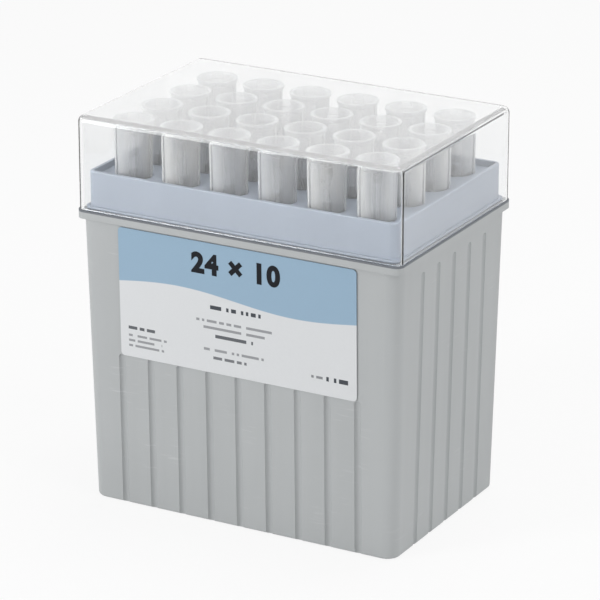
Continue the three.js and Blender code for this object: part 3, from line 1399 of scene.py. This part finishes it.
@dataclass
class FrontLabel:
    """The printed label: a thin sheet with rounded corners, and plain numbers on it."""

    lean: float
    thickness: float = 0.3 * MM
    corner: float = 1.6 * MM
    number_height: float = 9.4 * MM
    number_drop: float = 0.172
    number_boldness: float = 0.55 * MM
    number_relief: float = 0.04 * MM
    numbers: str = "24 × 10"

    def build(self, ink_finish: bpy.types.Material) -> list[bpy.types.Object]:
        """Models the sheet and its numbers and dresses them.

        Args:
            ink_finish: The ink of the numbers.

        Returns:
            The finished pieces.
        """
        place = Place.of("label")
        width, tall = place.high.x - place.low.x, place.high.z - place.low.z
        height = (tall - self.thickness * math.sin(self.lean)) / math.cos(self.lean)
        stand = Matrix.Translation(place.middle) @ Matrix.Rotation(self.lean, 4, "X")
        half = Vector((width / 2, self.thickness / 2, height / 2))
        flat = Workpiece.block("flat_sheet", -half, half)
        flat.round_edges(runs_along(1), self.corner, 5)
        sheet = flat.copies("label_sheet", [stand])[0].polish()
        paper = LabelPaper(place.low.x, place.high.z, width, tall).make()
        return [
            sheet.hand_over(paper, Body.BOX, Slot.LABEL, "label"),
            self._numbers(ink_finish, stand, height),
        ]

    def _numbers(
        self, finish: bpy.types.Material, stand: Matrix, height: float
    ) -> bpy.types.Object:
        """The bold numbers on the blue field.

        Args:
            finish: Their ink.
            stand: The sheet's place.
            height: The sheet's height.

        Returns:
            The finished piece.
        """
        choose_none()
        bpy.ops.object.text_add(location=(0, 0, 0))
        text = bpy.context.active_object
        text.data.body = self.numbers
        text.data.align_x, text.data.align_y = "CENTER", "CENTER"
        text.data.size = (self.number_height - 2 * self.number_boldness) * 1.38
        text.data.offset = self.number_boldness
        text.data.space_character = 1.12
        text.data.extrude = self.number_relief
        text.data.resolution_u = 6
        choose_only(text)
        bpy.ops.object.convert(target="MESH")
        text.matrix_world = (
            stand
            @ Matrix.Translation((0, -self.thickness / 2, height * (0.5 - self.number_drop)))
            @ Matrix.Rotation(math.pi / 2, 4, "X")
        )
        digits = Workpiece.fresh("label_numbers")
        with digits.editing():
            digits.pick(Pick.VERTS, lambda _: True)
            bpy.ops.mesh.remove_doubles(threshold=TOUCH)
        digits.obj.data.materials.clear()
        return digits.hand_over(finish, Body.BOX, Slot.LABEL)


# ------------------------------------------------------------------------------- the studio


@dataclass(frozen=True)
class Lamp:
    """A soft flat lamp that points at the object.

    Attributes:
        name: Its name.
        azimuth: Where it stands round the object, in degrees.
        elevation: How high it stands, in degrees.
        reach: Its distance, in metres.
        size: Its width and its height, in metres.
        power: Its power, in watts.
    """

    name: str
    azimuth: float
    elevation: float
    reach: float
    size: tuple[float, float]
    power: float


@dataclass
class Studio:
    """The white floor, the soft light and the camera."""

    azimuth: float = 29.0
    elevation: float = 20.0
    distance: float = 1.45
    lens: float = 213.0
    room_light: float = 0.465
    floor_white: float = 0.86
    floor_size: float = 12.0
    floor_gap: float = 0.2 * MM
    light_bounces: int = 32
    lamps: tuple[Lamp, ...] = (
        Lamp("key_lamp", -34, 16, 1.2, (0.35, 0.78), 5.9),
        Lamp("fill_lamp", 82, 24, 1.6, (1, 1), 6.8),
        Lamp("top_lamp", 170, 70, 1.4, (0.8, 0.8), 5.6),
    )

    def set_up(self, subject: tuple[Vector, Vector]) -> None:
        """Makes the floor, the world, the lamps and the camera.

        Args:
            subject: The lowest and highest corners of the object.
        """
        middle = (subject[0] + subject[1]) / 2
        self._floor()
        self._world()
        for lamp in self.lamps:
            self._light(lamp, middle)
        self._camera(middle)

    @staticmethod
    def _seen(recipe: Recipe) -> Signal:
        """Tells which rays show the background: seen straight, mirrored or through plastic.

        Args:
            recipe: The recipe it is for.

        Returns:
            1 for those rays, 0 for the others.
        """
        total: Amount = 0.0
        for name in ("Is Camera Ray", "Is Glossy Ray", "Is Transmission Ray"):
            total = recipe.node("ShaderNodeLightPath", output=name) + total
        return recipe.node("ShaderNodeClamp", sockets={"Value": total})

    def _floor(self) -> None:
        """A wide white floor that keeps a soft shadow."""
        choose_none()
        location = (0, 0, -self.floor_gap)
        bpy.ops.mesh.primitive_plane_add(size=self.floor_size, location=location)
        floor = Workpiece.fresh("studio_floor")
        recipe = Recipe.material("floor_white")
        lit = recipe.shader("ShaderNodeBsdfDiffuse", {"Color": (0.9, 0.9, 0.9, 1)})
        glow = recipe.shader("ShaderNodeEmission", {"Color": WHITE, "Strength": 1.0})
        share = self.floor_white * self._seen(recipe)
        floor.obj.data.materials.append(recipe.finish(recipe.mix(share, lit, glow)))

    def _world(self) -> None:
        """A plain bright room, white where it is seen."""
        recipe = Recipe.world("room")
        dim, bright = (
            recipe.shader("ShaderNodeBackground", {"Color": WHITE, "Strength": strength})
            for strength in (self.room_light, 1.0)
        )
        bpy.context.scene.world = recipe.finish(recipe.mix(self._seen(recipe), dim, bright))

    @staticmethod
    def _stand(
        thing: bpy.types.Object, aim: Vector, azimuth: float, elevation: float, reach: float
    ) -> None:
        """Puts a lamp or the camera in its place and points it at the object.

        Args:
            thing: The lamp or the camera.
            aim: The point it looks at.
            azimuth: Where it stands round the object, in degrees.
            elevation: How high it stands, in degrees.
            reach: Its distance, in metres.
        """
        a, e = math.radians(azimuth), math.radians(elevation)
        away = Vector((math.sin(a) * math.cos(e), -math.cos(a) * math.cos(e), math.sin(e)))
        bpy.context.scene.collection.objects.link(thing)
        thing.location = aim + away * reach
        thing.rotation_euler = (-away).to_track_quat("-Z", "Y").to_euler()

    def _light(self, lamp: Lamp, aim: Vector) -> None:
        """Sets up a lamp.

        Args:
            lamp: The lamp.
            aim: The point it lights.
        """
        data = bpy.data.lights.new(lamp.name, "AREA")
        data.shape, data.energy = "RECTANGLE", lamp.power
        data.size, data.size_y = lamp.size
        made = bpy.data.objects.new(lamp.name, data)
        self._stand(made, aim, lamp.azimuth, lamp.elevation, lamp.reach)

    def _camera(self, aim: Vector) -> None:
        """Sets up the camera at the object's viewing angle.

        Args:
            aim: The point it looks at.
        """
        data = bpy.data.cameras.new("camera")
        data.lens, data.sensor_width = self.lens, 36.0
        data.clip_start, data.clip_end = 0.05, 50.0
        camera = bpy.data.objects.new("camera", data)
        self._stand(camera, aim, self.azimuth, self.elevation, self.distance)
        scene = bpy.context.scene
        scene.camera = camera
        scene.view_settings.view_transform = "Standard"
        scene.cycles.max_bounces = self.light_bounces
        scene.cycles.transmission_bounces = self.light_bounces
        scene.cycles.transparent_max_bounces = self.light_bounces


def main() -> None:
    """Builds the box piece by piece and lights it."""
    logging.basicConfig(level=logging.INFO, format="%(name)s %(message)s")
    joint = frame["record"]["behaviour"]["joints"][0]
    hinge = Hinge(Vector(joint["pos_m"]))
    lid = Place.of("lid")
    rim = lid.low.z - SEAT
    tips = sorted(n for n in frame["nodes"] if n.startswith("tip_") and n != "tip_tray")
    middles = [Place.of(name).middle for name in tips]
    floor_top = Place.of(tips[0]).high.z - TIP_HEAD - SEAT
    # the base's painted shade line lies this far inside the lid's outer faces, out to the flange's
    # edge
    seam_shade_depth = 1.0 * MM
    edge = lid.high.x - seam_shade_depth, -lid.low.y - seam_shade_depth

    grey = MouldedPlastic(
        name="grey_box_plastic",
        colour=ink(174, 177, 178),
        pale=ink(179, 182, 183),
        scuffed=ink(196, 198, 199),
        # painted shade: the shadow line round the flange's top where the lid stands on it
        seam_shade=PaintedSeamShade(rim - 0.9 * MM, rim + 1.0 * MM, edge, ink(110, 114, 120)),
        roughness=0.46,
    )
    lavender = MouldedPlastic(
        name="lavender_tray_plastic",
        colour=ink(148, 156, 168),
        pale=ink(154, 162, 174),
        scuffed=ink(172, 179, 189),
        # painted shade on the tray's lip, under the lid's edge
        seam_shade=PaintedSeamShade(rim, rim + 0.9 * MM, (0.0, 0.0), ink(112, 119, 132)),
        roughness=0.34,
    )
    base = BaseBox(rim=rim, hinge=hinge)
    base.build(grey.make())
    TipTray(rim=rim, floor_top=floor_top, tips=middles).build(lavender.make())
    TipSet(nodes=tips).build(TipPlastic().make())
    FrontLabel(lean=math.atan(base.draft / rim)).build(PrintInk().make())
    ClearLid(hinge=hinge).build(ClearPlastic(frosted_above=lid.high.z - 2 * MM).make())

    Studio().set_up(CAD_BOUNDS)


if __name__ == "__main__":
    main()
